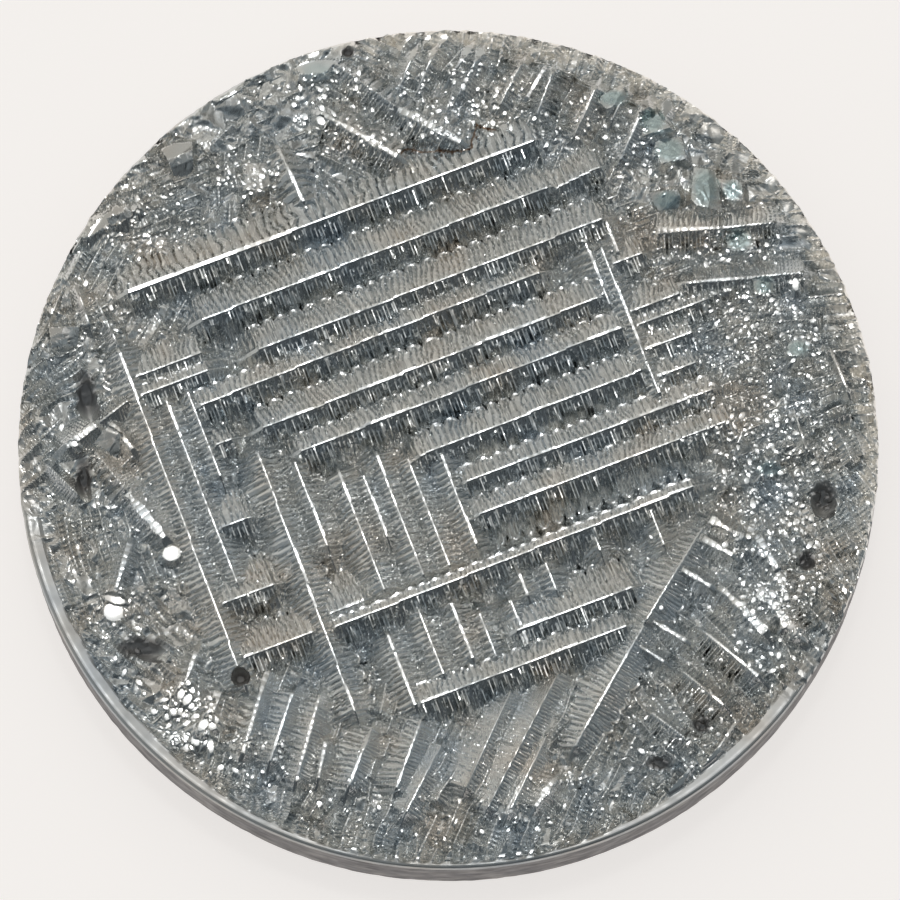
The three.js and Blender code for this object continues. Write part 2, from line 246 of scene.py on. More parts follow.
# Ridges of the outer grains: from X, Y, to X, Y, crest height, half width of the bright crest,
# plan widths over height of the left and right flanks, and their styles
OUTER_RIDGES = [
    # Falling to the right at the far side
    (-5.2, 13.85, -2.1, 12.0, 3.95, 0.12, 1.7, 1.15, "wavy", "blade"),
    (-2.2, 14.1, 0.5, 12.6, 3.96, 0.12, 1.8, 1.2, "wavy", "blade"),
    (-4.7, 16.0, -2.2, 14.1, 3.9, 0.03, 1.3, 1.3, "wavy", "blade"),
    (-6.9, 12.3, -5.9, 10.1, 3.88, 0.06, 1.4, 1.4, "wavy", "wavy"),
    # Rising to the right at the far side
    (-2.0, 14.9, -1.4, 16.4, 3.8, 0.03, 0.9, 1.0, "plain", "fine"),
    (-1.3, 14.7, -0.6, 16.4, 3.82, 0.03, 0.9, 1.0, "plain", "fine"),
    (0.4, 14.6, 1.3, 16.4, 3.85, 0.03, 1.0, 1.1, "fine", "plain"),
    (0.1, 15.4, 0.8, 16.5, 3.8, 0.06, 0.7, 0.7, "fine", "fine"),
    (2.1, 14.2, 3.0, 16.0, 3.85, 0.03, 1.1, 1.1, "blade", "plain"),
    (3.2, 14.5, 3.9, 15.7, 3.8, 0.06, 0.7, 0.7, "fine", "fine"),
    (3.6, 13.8, 4.3, 15.7, 3.85, 0.03, 1.0, 1.1, "blade", "blade"),
    (5.1, 12.9, 6.0, 14.9, 3.86, 0.05, 1.2, 1.1, "blade", "plain"),
    (6.7, 13.6, 7.2, 14.8, 3.8, 0.03, 0.9, 0.9, "plain", "plain"),
    (7.0, 11.9, 8.0, 14.2, 3.86, 0.04, 1.3, 1.3, "blade", "plain"),
    (8.6, 13.0, 8.9, 14.2, 3.78, 0.03, 0.9, 0.9, "plain", "plain"),
    # Level bars at the right
    (8.5, 8.9, 11.0, 9.0, 3.92, 0.10, 1.9, 1.0, "fine", "blade"),
    (11.0, 9.0, 13.3, 9.25, 3.86, 0.04, 1.7, 0.9, "fine", "blade"),
    (9.5, 6.7, 12.0, 6.9, 3.92, 0.08, 1.3, 1.0, "fine", "blade"),
    (12.0, 6.9, 14.4, 7.15, 3.88, 0.05, 1.3, 0.9, "plain", "blade"),
    (10.5, 7.9, 12.6, 8.0, 3.7, 0.02, 0.8, 0.8, "fine", "fine"),
    # The near grain: a fan that leans to the right
    (-6.3, -10.3, -7.2, -13.1, 3.85, 0.06, 1.2, 1.5, "plain", "fine"),
    (-5.2, -10.4, -6.15, -13.9, 3.88, 0.07, 1.2, 1.5, "plain", "fine"),
    (-4.95, -12.3, -5.25, -13.8, 3.8, 0.07, 0.9, 0.9, "plain", "fine"),
    (-3.1, -11.7, -4.0, -14.1, 3.86, 0.05, 1.3, 1.7, "plain", "fine"),
    (-1.1, -11.4, -2.1, -14.2, 3.84, 0.04, 1.3, 1.7, "plain", "fine"),
    (-0.3, -12.4, -1.7, -15.2, 3.84, 0.03, 1.3, 1.5, "plain", "plain"),
    (2.6, -10.0, 0.7, -14.2, 3.86, 0.02, 1.3, 1.7, "plain", "plain"),
    (4.5, -9.3, 1.6, -15.0, 3.88, 0.02, 1.4, 1.6, "plain", "plain"),
    (4.3, -11.3, 2.4, -15.3, 3.82, 0.03, 1.2, 1.4, "plain", "plain"),
    (3.1, -13.7, 2.3, -15.3, 3.8, 0.07, 0.9, 0.9, "plain", "fine"),
    (-7.3, -9.3, -8.3, -12.8, 3.87, 0.08, 1.1, 1.5, "plain", "wavy"),
    (-9.3, -10.2, -9.8, -12.0, 3.82, 0.12, 0.9, 1.2, "wavy", "wavy"),
    (-10.2, -8.6, -10.8, -10.4, 3.84, 0.09, 1.0, 1.0, "wavy", "wavy"),
    # The long slanting crest at the right of the near side, and the bars on its far flank
    (10.3, -3.4, 8.0, -7.3, 3.96, 0.03, 1.4, 1.5, "plain", "fine"),
    (8.0, -7.3, 5.1, -12.5, 3.97, 0.04, 1.7, 1.7, "plain", "fine"),
    (4.3, -13.8, 3.5, -15.0, 3.84, 0.11, 1.0, 1.2, "plain", "fine"),
    (10.6, -3.1, 11.9, -3.9, 3.86, 0.14, 0.9, 0.9, "fine", "fine"),
    (10.3, -3.9, 11.5, -4.6, 3.84, 0.12, 0.8, 0.8, "fine", "fine"),
    (9.4, -5.15, 10.6, -5.9, 3.84, 0.10, 0.8, 0.8, "fine", "fine"),
    (8.2, -7.3, 9.6, -8.15, 3.84, 0.10, 0.8, 0.8, "fine", "fine"),
    (7.8, -8.4, 8.7, -9.0, 3.8, 0.08, 0.8, 0.8, "fine", "fine"),
    (11.1, -6.0, 12.8, -7.8, 3.88, 0.15, 1.1, 1.1, "blade", "fine"),
    (12.6, -6.0, 14.1, -7.9, 3.86, 0.15, 1.0, 1.0, "blade", "fine"),
    (12.5, -3.8, 13.3, -5.2, 3.86, 0.13, 1.0, 1.0, "fine", "fine"),
    (13.3, -5.2, 13.7, -6.5, 3.84, 0.12, 1.0, 1.0, "fine", "fine"),
    (10.4, -7.8, 12.5, -9.6, 3.84, 0.06, 1.0, 1.1, "fine", "blade"),
    (9.5, -9.4, 11.1, -10.8, 3.84, 0.05, 1.0, 1.1, "fine", "blade"),
    (8.2, -11.1, 9.7, -12.3, 3.8, 0.04, 1.0, 1.1, "fine", "blade"),
    (11.7, -11.3, 10.3, -13.4, 3.64, 0.06, 0.9, 0.9, "fine", "fine"),
    (9.9, -13.2, 9.0, -14.3, 3.62, 0.06, 0.9, 0.9, "fine", "fine"),
    # Blades at the left
    (-15.5, -0.1, -14.3, 0.8, 3.9, 0.12, 1.1, 1.0, "plain", "plain"),
    (-14.3, 0.8, -13.0, 1.8, 3.86, 0.04, 1.0, 1.0, "fine", "plain"),
    (-14.3, -0.3, -13.1, -1.9, 3.88, 0.03, 1.3, 1.0, "plain", "wavy"),
    (-13.1, -1.9, -11.5, -3.9, 3.92, 0.16, 1.6, 0.9, "plain", "fine"),
    (-12.9, -4.1, -13.5, -6.2, 3.9, 0.10, 0.9, 0.9, "fine", "fine"),
    (-14.3, 6.0, -13.4, 4.1, 3.85, 0.03, 1.0, 1.0, "fine", "fine"),
    (-15.1, 6.6, -14.6, 5.0, 3.8, 0.03, 0.8, 0.8, "plain", "plain"),
    (-13.7, 0.9, -12.8, -0.2, 3.82, 0.10, 0.8, 0.8, "plain", "plain"),
    (-16.2, -0.9, -15.0, -2.1, 3.75, 0.03, 0.9, 0.9, "plain", "plain"),
    # Arcs at the right edge
    (15.5, 4.0, 16.2, 2.2, 3.72, 0.04, 0.8, 0.8, "plain", "plain"),
    (14.0, 1.5, 14.5, -0.2, 3.78, 0.03, 0.8, 0.8, "plain", "plain"),
    (11.5, -0.6, 12.0, 0.8, 3.78, 0.03, 0.8, 0.8, "plain", "plain"),
    # Short lines at the left of the middle grain
    (-14.9, 8.9, -12.5, 9.9, 3.7, 0.03, 1.2, 1.4, "plain", "plain"),
]

# Flat crystals: centre X, Y, half length, half width, turn in degrees, height of the middle,
# and how far the top falls along X and along Y, per millimetre
BLOCKS = [
    (9.0, 12.3, 0.6, 0.55, 5, 3.78, 0.05, -0.25),
    (10.45, 10.7, 0.55, 0.85, -4, 3.82, -0.05, -0.22),
    (11.55, 10.6, 0.4, 0.45, 0, 3.8, 0.0, -0.02),
    (11.8, 8.5, 0.5, 0.45, 0, 3.74, 0.1, -0.3),
    (12.8, 6.6, 0.4, 0.35, 5, 3.78, 0.05, -0.25),
    (14.2, 4.0, 0.45, 0.35, 0, 3.74, 0.1, -0.25),
    (-10.9, 11.9, 0.5, 0.65, 12, 3.7, 0.1, 0.22),
    (-7.8, 11.2, 0.5, 0.6, 0, 3.7, 0.1, -0.12),
    (-5.4, 15.6, 0.65, 0.4, 0, 3.7, 0.1, 0.32),
    (-13.7, 0.2, 0.5, 0.45, -35, 3.62, 0.15, 0.15),
    (-15.6, 4.5, 0.6, 0.4, 10, 3.62, 0.1, 0.25),
    (8.9, 10.2, 0.55, 0.4, 10, 3.7, 0.3, 0.2),
    (13.0, -1.0, 0.5, 0.3, 30, 3.7, -0.2, 0.3),
    (-9.0, 15.0, 0.7, 0.35, 30, 3.64, -0.3, 0.3),
    (-13.4, 9.6, 0.6, 0.28, 20, 3.6, 0.1, 0.3),
    (6.7, 14.5, 0.6, 0.35, 20, 3.66, 0.1, -0.3),
    (8.3, 13.5, 0.5, 0.5, 20, 3.66, 0.15, -0.35),
]

# Pits: centre X, Y, half width along and across, turn in degrees, floor height
PITS = [
    (15.2, -2.1, 0.6, 0.75, 0, 3.05),
    (14.5, -4.7, 0.4, 0.45, 0, 3.1),
    (-12.4, -8.3, 1.1, 0.5, -15, 3.05),
    (-14.7, 2.2, 0.45, 1.0, 10, 3.05),
    (-14.8, -1.2, 0.35, 0.9, 8, 3.1),
    (10.2, -11.5, 0.45, 0.35, -40, 3.15),
    (8.5, -13.1, 0.6, 0.3, -10, 3.15),
    (-8.4, -9.6, 0.35, 0.3, 0, 3.15),
    (-4.1, 16.5, 0.3, 0.25, 0, 3.2),
]

# Small level faces that flash in the light: centre X, Y, size across
FLASHES = [
    (-6.3, 14.3, 0.45), (-5.2, 13.55, 0.6), (-6.9, 15.0, 0.3), (-3.9, 14.2, 0.3), (-3.1, 14.0, 0.25),
    (1.8, 13.5, 0.35), (2.3, 13.9, 0.35), (3.5, 13.65, 0.35), (0.1, 14.3, 0.3), (1.0, 14.5, 0.2),
    (5.25, 12.85, 0.3), (6.4, 12.95, 0.3), (7.0, 11.25, 0.35), (8.2, 11.5, 0.35), (8.25, 12.8, 0.2),
    (9.1, 11.6, 0.22), (8.8, 10.45, 0.22), (13.4, 8.75, 0.3), (13.3, 7.6, 0.25), (12.0, 6.2, 0.3),
    (11.5, 5.7, 0.3), (12.2, 4.7, 0.3), (15.5, 0.3, 0.35), (14.8, -0.1, 0.2), (12.7, -1.25, 0.25),
    (13.1, -1.25, 0.2), (15.2, 3.3, 0.2), (11.9, 3.5, 0.25), (8.2, -3.8, 0.3), (13.6, -7.5, 0.35),
    (12.7, -8.75, 0.3), (13.35, -8.65, 0.35), (13.5, -9.1, 0.28), (7.8, -12.6, 0.35), (7.1, -12.9, 0.28),
    (6.2, -15.0, 0.25), (11.0, -8.9, 0.25), (8.6, -6.8, 0.3), (-1.3, -16.0, 0.25), (-0.15, -16.2, 0.3),
    (1.35, -15.9, 0.3), (0.3, -15.5, 0.3), (2.4, -15.9, 0.3), (3.6, -15.8, 0.4), (4.1, -15.5, 0.25),
    (-3.6, -15.4, 0.25), (-6.1, -13.8, 0.3), (-4.0, -13.9, 0.25), (-5.2, -14.8, 0.4), (-2.8, -14.9, 0.3),
    (-10.8, -10.3, 0.55), (-10.4, -10.75, 0.5), (-11.5, -10.5, 0.4), (-9.6, -11.3, 0.35), (-10.9, -11.3, 0.3),
    (-11.0, -12.1, 0.3), (-9.8, -12.3, 0.35), (-9.2, -13.3, 0.4), (-8.6, -13.4, 0.35), (-8.1, -13.6, 0.2),
    (-12.3, -10.2, 0.3), (-11.9, -10.95, 0.35), (-10.5, -11.9, 0.25), (-11.6, -11.6, 0.25),
    (-12.6, -7.5, 0.3), (-12.9, -6.4, 0.3), (-13.85, -7.9, 0.25), (-13.1, -9.35, 0.35), (-12.5, -9.75, 0.35),
    (-14.5, -7.3, 0.22), (-14.5, -8.2, 0.22), (-15.2, -5.6, 0.3), (-15.2, 0.0, 0.4), (-15.0, 4.2, 0.3),
    (-13.7, 5.75, 0.3), (-14.75, 6.8, 0.35), (-13.8, -2.5, 0.3), (-14.2, -2.35, 0.25), (-13.55, -2.5, 0.3),
    (-12.6, -3.5, 0.25), (-13.7, -3.3, 0.2), (-15.7, 0.8, 0.35), (-8.1, -6.25, 0.25), (-6.7, -8.85, 0.2),
    (-11.6, 10.4, 0.35), (-11.0, 10.15, 0.3), (-12.2, 8.5, 0.4), (-12.6, 7.8, 0.3), (-7.6, 11.2, 0.4),
    (-5.8, 9.9, 0.2), (-7.7, 10.6, 0.25), (11.6, 10.75, 0.35), (12.2, 10.0, 0.25), (14.0, 6.75, 0.4),
    (10.0, 6.75, 0.2), (-0.1, 3.1, 0.15), (1.9, 0.5, 0.15),
    (-11.2, -4.5, 1.0), (-13.55, -6.85, 1.3), (-13.5, -6.35, 0.9), (14.1, 6.7, 0.6),
    (-10.55, -10.5, 0.8), (-9.9, -11.6, 0.6), (-9.6, -12.4, 0.6), (-11.1, -11.0, 0.5),
]

# Patches of glitter: middle X, Y, reach along X and Y, number of flecks, largest size,
# and how much the flecks lean: at 0.05 all flash, at 0.3 one in four does
GLITTER = [
    (12.8, 3.4, 2.3, 2.4, 260, 0.34, 0.16),
    (13.2, -0.8, 2.4, 2.4, 260, 0.36, 0.16),
    (13.2, -4.6, 1.8, 2.4, 190, 0.4, 0.15),
    (13.0, -7.6, 1.4, 1.6, 80, 0.4, 0.12),
    (9.0, -11.6, 2.0, 1.6, 80, 0.32, 0.22),
    (4.5, -14.6, 3.0, 1.0, 50, 0.32, 0.22),
    (-2.0, -15.2, 3.6, 0.9, 30, 0.28, 0.2),
    (-8.0, -13.0, 1.6, 1.0, 60, 0.3, 0.2),
    (-10.6, -11.2, 1.0, 1.2, 130, 0.6, 0.07),
    (-13.2, -7.4, 1.2, 1.4, 60, 0.3, 0.18),
    (-13.6, -2.2, 1.5, 1.8, 60, 0.24, 0.24),
    (-14.0, 5.0, 1.3, 2.2, 60, 0.3, 0.22),
    (-12.2, 9.4, 1.6, 1.6, 70, 0.34, 0.16),
    (-8.2, 11.3, 1.2, 0.9, 60, 0.34, 0.1),
    (-5.0, 14.6, 1.6, 1.2, 50, 0.42, 0.1),
    (-3.6, 12.6, 1.6, 0.7, 40, 0.3, 0.12),
    (-0.6, 13.2, 1.4, 0.6, 40, 0.3, 0.12),
    (0.5, 14.4, 2.6, 1.4, 120, 0.34, 0.14),
    (6.0, 13.2, 2.4, 1.2, 90, 0.3, 0.18),
    (7.6, 11.8, 1.2, 0.8, 40, 0.28, 0.12),
    (11.4, 8.2, 2.0, 0.6, 70, 0.36, 0.12),
    (12.4, 6.0, 1.8, 0.6, 60, 0.36, 0.12),
    (7.0, 8.0, 1.6, 2.0, 60, 0.24, 0.2),
    (9.6, 3.0, 1.4, 3.0, 120, 0.26, 0.18),
    (-1.0, -6.0, 6.0, 2.6, 90, 0.14, 0.3),
    (-7.6, 0.0, 3.0, 4.0, 80, 0.14, 0.3),
]

# The brown hairline stain at the far side
STAIN_LINE = [
    (-2.0, 12.2), (-1.5, 12.35), (-0.5, 12.3), (0.5, 12.25), (0.9, 12.5),
    (1.0, 13.2), (1.15, 13.45), (1.5, 13.25), (1.95, 13.15),
]


def turned(x, y, angle):
    """x and y in axes that are turned by the angle."""
    return x * math.cos(angle) + y * math.sin(angle), y * math.cos(angle) - x * math.sin(angle)


def from_grain(along, across):
    """X and Y of a place that is given in the axes of the middle grain."""
    return turned(along, across, -GRAIN_TURN)


def side_share(x, y, middle, start, width):
    """How far a place lies on the side round the middle direction, from 0 to 1."""
    lean = (middle[0] * x + middle[1] * y) / np.maximum(np.hypot(x, y), 1)
    return np.clip((lean - start) / width, 0, 1)


def near_side(x, y):
    """How far a place belongs to the smooth near edge, from 0 to 1, along the lower left and right."""
    return side_share(x, y, NEAR_MIDDLE, 0.2, 0.25)


def far_side(x, y):
    """How far a place belongs to the pale grainy far edge, from 0 to 1, at the upper right."""
    return side_share(x, y, FAR_MIDDLE, 0.35, 0.3)


def lip_width(x, y):
    """Width of the smooth lip: broad at the lower left and right, narrow at the bottom."""
    to_side = np.abs(x) / np.maximum(np.hypot(x, y), 1)
    return LIP_NARROW + LIP_WIDTH * np.clip(to_side - 0.22, 0, 0.5) + 0.05 * waves(x / 0.9, y / 0.9, 14)


# Repeatable noise

LATTICE = RNG.random((256, 256)).astype(np.float32)
SITES = RNG.random((256, 256, 8)).astype(np.float32)


def waves(x, y, seed=0):
    """Smooth noise from -1 to 1, with bumps about one unit apart."""
    x, y = x + 37.31 * seed, y + 91.7 * seed
    left, low = np.floor(x).astype(int), np.floor(y).astype(int)
    fx, fy = x - left, y - low
    fx, fy = fx * fx * (3 - 2 * fx), fy * fy * (3 - 2 * fy)

    def at(i, j):
        return LATTICE[(left + i) & 255, (low + j) & 255]

    bottom = at(0, 0) * (1 - fx) + at(1, 0) * fx
    top = at(0, 1) * (1 - fx) + at(1, 1) * fx
    return 2 * (bottom * (1 - fy) + top * fy) - 1


def grains(x, y, seed=0):
    """Heights of packed crystals about one unit apart, each a leaning three-sided pyramid."""
    x, y = x + 53.7 * seed, y + 17.9 * seed
    left, low = np.floor(x).astype(int), np.floor(y).astype(int)
    top = np.full(x.shape, NO_HEIGHT)
    for i in (-1, 0, 1):
        for j in (-1, 0, 1):
            site = SITES[(left + i) & 255, (low + j) & 255]
            dx = x - (left + i + site[..., 0])
            dy = y - (low + j + site[..., 1])
            angle = site[..., 2] * math.tau
            fall = np.zeros(x.shape)
            for k in range(3):
                toward = angle + k * 2.1 + site[..., 3 + k]
                steep = 0.35 + 0.9 * site[..., 5 - k]
                fall = np.maximum(fall, (dx * np.cos(toward) + dy * np.sin(toward)) * steep)
            top = np.maximum(top, site[..., 6] * 0.5 - fall)
    return top


def ribs(along, down, style, seed):
    """Height that the ribs of a flank add, for places along the crest and down the flank."""
    pitch, depth = style["pitch"], style["depth"]
    lean = 0.25 * waves(along / 2.5, down * 0.0, seed + 3)
    bent = along + lean * down + 0.3 * pitch * waves(along / pitch * 0.6, down / 0.35, seed)
    phase = bent / pitch + 0.5 * waves(bent / pitch * 0.35, down * 0.0, seed + 1)
    cell = np.floor(phase).astype(int)
    part = phase - cell
    pick = SITES[(cell + 31 * seed) & 255, (seed * 7) & 255]
    crown = 0.35 + 0.3 * pick[..., 3]
    saw = np.minimum(part / crown, (1 - part) / (1 - crown))
    fade = np.clip(down / 0.10, 0, 1)
    deeper = (0.5 + 0.6 * pick[..., 4]) * (0.8 + 0.2 * down)
    height = depth * (saw - 0.9) * fade * deeper
    height -= 0.9 * depth * fade * np.clip(1 - saw / 0.2, 0, 1)
    return height + 0.1 * (pick[..., 5] - 0.5) * down * (depth > TWISTED_FROM)


def scallops(along, seed):
    """Round lobes from 0 to 1 along a ridge, about 0.6 mm apart."""
    lobe = along / 0.62 + 0.6 * waves(along / 1.5, along * 0.0, seed)
    return np.sqrt(1 - (2 * (lobe - np.floor(lobe)) - 1) ** 2)


def snapped(place):
    """The nearest middle between two lines of the plates' grid, so that a thin crest stays whole."""
    return (np.floor(place / CELL) + 0.5) * CELL


def blades(along, down, style, seed, origin):
    """How far below the ridge's crest its thin side blades stand, or far below it between them."""
    pitch = style["pitch"]
    cell = np.floor(along / pitch).astype(int)
    pick = SITES[(cell + 17 * seed) & 255, (seed * 13 + 5) & 255]
    middle = snapped((cell + 0.25 + 0.5 * pick[..., 0]) * pitch + origin) - origin
    offset = np.abs(along - middle)
    reach = 0.3 + 0.5 * pick[..., 2]
    fall = 0.3 * pick[..., 4]
    start = 0.03 + 0.2 * pick[..., 5] ** 2
    drop = start + fall * down + 2.8 * np.maximum(offset - BLADE_HALF_WIDTH, 0)
    drop += 0.4 * (pick[..., 6] - 0.5) * np.clip(along - middle, -BLADE_HALF_WIDTH, BLADE_HALF_WIDTH)
    drop += 1.8 * np.maximum(down - reach, 0)
    return np.where(pick[..., 1] < style["blades"], drop, -NO_HEIGHT)


def comb(x, y, angle, pitch, height, seed):
    """Heights of short parallel ridges with ribbed flanks, in rows along the angle."""
    u, v = turned(x, y, angle)
    v = v + 0.3 * pitch * waves(u / 1.3, v / 1.3, seed)
    row = np.floor(v / pitch).astype(int)
    rib = u / 0.2 + 0.5 * waves(u / 0.5, v / 0.5, seed + 2)
    rib = 0.05 * np.abs(2 * (rib - np.floor(rib)) - 1)
    top = np.full(x.shape, NO_HEIGHT)
    for step in (-1, 0, 1):
        cell = row + step
        one = SITES[cell & 255, (seed * 5) & 255]
        length = 0.9 + 2.6 * one[..., 0]
        place = (u + 40 * one[..., 1]) / length
        piece = np.floor(place).astype(int)
        own = SITES[(cell * 7 + piece * 3) & 255, (seed * 11 + 3) & 255]
        middle = (cell + 0.5 + 0.5 * (own[..., 0] - 0.5)) * pitch
        offset = np.abs(v - middle)
        along = (place - piece - 0.5) * length
        crest = 1.35 * height * (0.2 + 0.8 * own[..., 1])
        fall = 0.24 * (own[..., 2] - 0.5) * along
        ends = 1.3 * np.maximum(np.abs(along) - 0.42 * length, 0)
        flank = np.maximum(offset - 0.035 * (own[..., 3] > 0.3), 0) * (0.85 + 0.7 * own[..., 4])
        ribbed = rib * np.clip(offset / 0.08, 0, 1)
        top = np.maximum(top, crest + fall - ends - flank - ribbed)
    return top


class Face:
    """The open face as heights over points X, Y, built up from its features."""

    def __init__(self, x, y):
        self.x, self.y = x, y
        self.low = (x.min(), y.min())
        self.high = (x.max(), y.max())
        self.z = self.ground()

    def ground(self):
        """Fine ridges and folded facets, in the direction of the grain that a point lies in."""
        x, y = self.x, self.y
        shifted_x = x + 0.8 * waves(x / 1.5, y / 1.5, 31)
        shifted_y = y + 0.8 * waves(x / 1.5, y / 1.5, 32)
        spans = np.stack([np.hypot(shifted_x - grain[0], shifted_y - grain[1]) for grain in GRAINS])
        nearest = spans.argmin(axis=0)
        fold_x = x + 0.28 * waves(x / 0.55, y / 0.55, 34)
        fold_y = y + 0.28 * waves(x / 0.55, y / 0.55, 35)
        facets = 0.48 * grains(fold_x / 0.95, fold_y / 0.95, 1)
        facets += 0.05 * waves(fold_x / 0.3, fold_y / 0.3, 36)
        crumbs = grains(x / 0.34, y / 0.34, 2)
        crumbs = np.clip(0.3 + 1.5 * waves(x / 1.8, y / 1.8, 33), 0, 1) * 0.15 * crumbs
        z = np.empty(x.shape)
        for i, (_, _, turn, pitch, height, folded) in enumerate(GRAINS):
            here = nearest == i
            if here.any():
                rows = comb(x[here], y[here], math.radians(turn), pitch, height, i + 1)
                rows += (1 - folded) * 0.1 * crumbs[here]
                z[here] = np.maximum(rows - 0.35 * folded, facets[here] + crumbs[here] - 0.3 * (1 - folded))
        between_ridges = np.clip((MIDDLE_RADIUS - np.hypot(x, y)) / 1.5, 0, 1)
        return VALLEY - 0.18 - 0.42 * between_ridges + z

    def near(self, x, y, reach):
        """The points in a square round x, y."""
        if not (self.low[0] - reach < x < self.high[0] + reach):
            return None
        if not (self.low[1] - reach < y < self.high[1] + reach):
            return None
        found = np.nonzero((np.abs(self.x - x) < reach) & (np.abs(self.y - y) < reach))[0]
        return found if len(found) else None

    def raise_to(self, found, height):
        """Lifts the found points to the height where they lie below it."""
        self.z[found] = np.maximum(self.z[found], height)

    def ridge(self, start, end, top, cap, left, right, left_style, right_style, seed,
              bend=0.0, axis=None, reach=0.95, broad=0.0):
        """A roof-shaped ridge. Its crest bends down away from the place where it catches the light.
        Axis is the grain axis, 0 or 1, that a ridge of the middle grain keeps its place on.
        Its left flank runs down for about the reach, and breaks off there in scallops.
        Broad is the share of a middle ridge's length, from its start, that has a broader crest."""
        length = math.dist(start, end)
        forward = ((end[0] - start[0]) / length, (end[1] - start[1]) / length)
        middle = ((start[0] + end[0]) / 2, (start[1] + end[1]) / 2)
        found = self.near(*middle, length / 2 + RIDGE_HALF_WIDTH)
        if found is None:
            return
        dx, dy = self.x[found] - start[0], self.y[found] - start[1]
        along = dx * forward[0] + dy * forward[1]
        across = dy * forward[0] - dx * forward[1]
        keep = (np.abs(across) < RIDGE_HALF_WIDTH) & (along > -1) & (along < length + 1)
        found, along, across = found[keep], along[keep], across[keep]
        origin = 0.0
        if axis is not None:
            own = turned(self.x[found], self.y[found], GRAIN_TURN)
            first, last = turned(*start, GRAIN_TURN), turned(*end, GRAIN_TURN)
            share = np.clip(along / length, 0, 1)
            across = own[axis] - snapped(first[axis] + (last[axis] - first[axis]) * share)
            origin = first[1 - axis]
        past = np.maximum(0, np.maximum(-along, along - length))
        glint = 0.5 + 0.45 * SITES[seed & 255, 19][0]
        arch = bend * length * (np.clip(along / length, 0, 1) - glint) ** 2
        wander = 0.022 if axis == 0 else 0.014
        nothing = np.zeros(along.shape)
        level_line = top - arch + wander * waves(along / 0.8, nothing, seed + 9)
        if axis is None:
            cap_line = cap * (1 + 0.5 * waves(along / 0.4, nothing, seed + 11) * (cap > 0.035))
        else:
            cap_line = cap + CELL * ((waves(along / 1.5, nothing, seed + 11) > 0.35) & (across > 0))
            cap_line = np.maximum(cap_line, (cap + CELL) * (along < broad * length))
        tilt = (0.05 + 0.1 * SITES[seed & 255, 23][0]) * waves(along / 1.2, nothing, seed + 13)
        tilt += 0.07 * waves(along / 0.17, nothing, seed + 15)
        level_line += tilt * (0.25 if axis is None else 1.0) * np.clip(across, -cap_line, cap_line)
        if cap > BEADED_FROM:
            bead = along / BEAD + 0.5 * waves(along / 0.9, nothing, seed + 17)
            level_line -= 0.008 * (2 * (bead - np.floor(bead)) - 1) ** 2
            level_line -= 0.006 * np.minimum(np.abs(across) / cap, 1) ** 2
        sides = ((1, left, left_style, reach), (-1, right, right_style, RIGHT_REACH))
        for sign, width, style, side_reach in sides:
            here = across * sign >= 0
            down = np.maximum(across[here] * sign - cap_line[here], 0)
            fall = (1 + 0.08 * waves(along[here] / 1.4, down * 0.0, seed + sign)) / width
            level = level_line[here]
            past_toe = down - side_reach * (0.75 + 0.28 * scallops(along[here], seed + sign + 5))
            on_flank = np.clip(-past_toe / LEDGE - 0.9, 0, 1)
            height = level - down * fall - past[here] * END_FALL
            height += ribs(along[here], down, FLANKS[style], seed * 2 + sign + 40) * on_flank
            height += np.clip(past_toe + LEDGE, 0, LEDGE) * fall - TOE_FALL * np.maximum(past_toe, 0)
            if FLANKS[style]["blades"]:
                drop = blades(along[here], down, FLANKS[style], seed + 3, origin)
                height = np.maximum(height, level - drop - past[here] * 2)
            self.raise_to(found[here], height)

    def block(self, x, y, half_length, half_width, turn, top, fall_x, fall_y, seed):
        """A flat crystal with an uneven outline, whose top leans and is slightly domed."""
        found = self.near(x, y, 1.5 * max(half_length, half_width) + 0.5)
        if found is None:
            return
        pick = SITES[seed & 255, 91]
        dx, dy = self.x[found] - x, self.y[found] - y
        u, v = turned(dx, dy, math.radians(turn))
        skewed = u + 0.5 * (pick[0] - 0.5) * v
        tapered = half_length * (1 + 0.45 * (pick[1] - 0.5) * v / half_width)
        out = np.maximum(np.abs(skewed) - tapered, np.abs(v + 0.35 * (pick[2] - 0.5) * u) - half_width)
        for k in (3, 4):
            toward = math.tau * pick[k]
            reach = 0.78 * math.hypot(half_length, half_width)
            out = np.maximum(out, u * math.cos(toward) + v * math.sin(toward) - reach)
        inside = out < 0.35
        found, dx, dy, u, v, out = (values[inside] for values in (found, dx, dy, u, v, out))
        split = u * math.cos(7 * pick[5]) + v * math.sin(7 * pick[5]) - 0.3 * half_length
        height = top + dx * fall_x + dy * fall_y - 0.35 * np.maximum(split, 0) - 2.2 * np.maximum(out, 0)
        height += 0.022 * waves(dx / 0.32, dy / 0.32, seed + 51) - 0.1 * (u * u + v * v)
        height += 0.05 * grains(dx / 0.3, dy / 0.3, seed + 61)
        clear = out < 0.0
        self.z[found[clear]] = height[clear]
        self.raise_to(found, height)

    def pit(self, x, y, along, across, turn, floor):
        """An oval hollow, whose floor rises towards the far side."""
        found = self.near(x, y, 1.4 * max(along, across) + 0.3)
        if found is None:
            return
        u, v = turned(self.x[found] - x, self.y[found] - y, math.radians(turn))
        out = np.hypot(u / along, v / across)
        wall = floor + 0.81 * np.maximum(out - 0.4, 0) ** 1.3 + PIT_TILT * (self.y[found] - y)
        wall += 0.05 * grains(self.x[found] / 0.35, self.y[found] / 0.35, 7)
        self.z[found] = np.where(out < 1.25, np.minimum(self.z[found], wall), self.z[found])

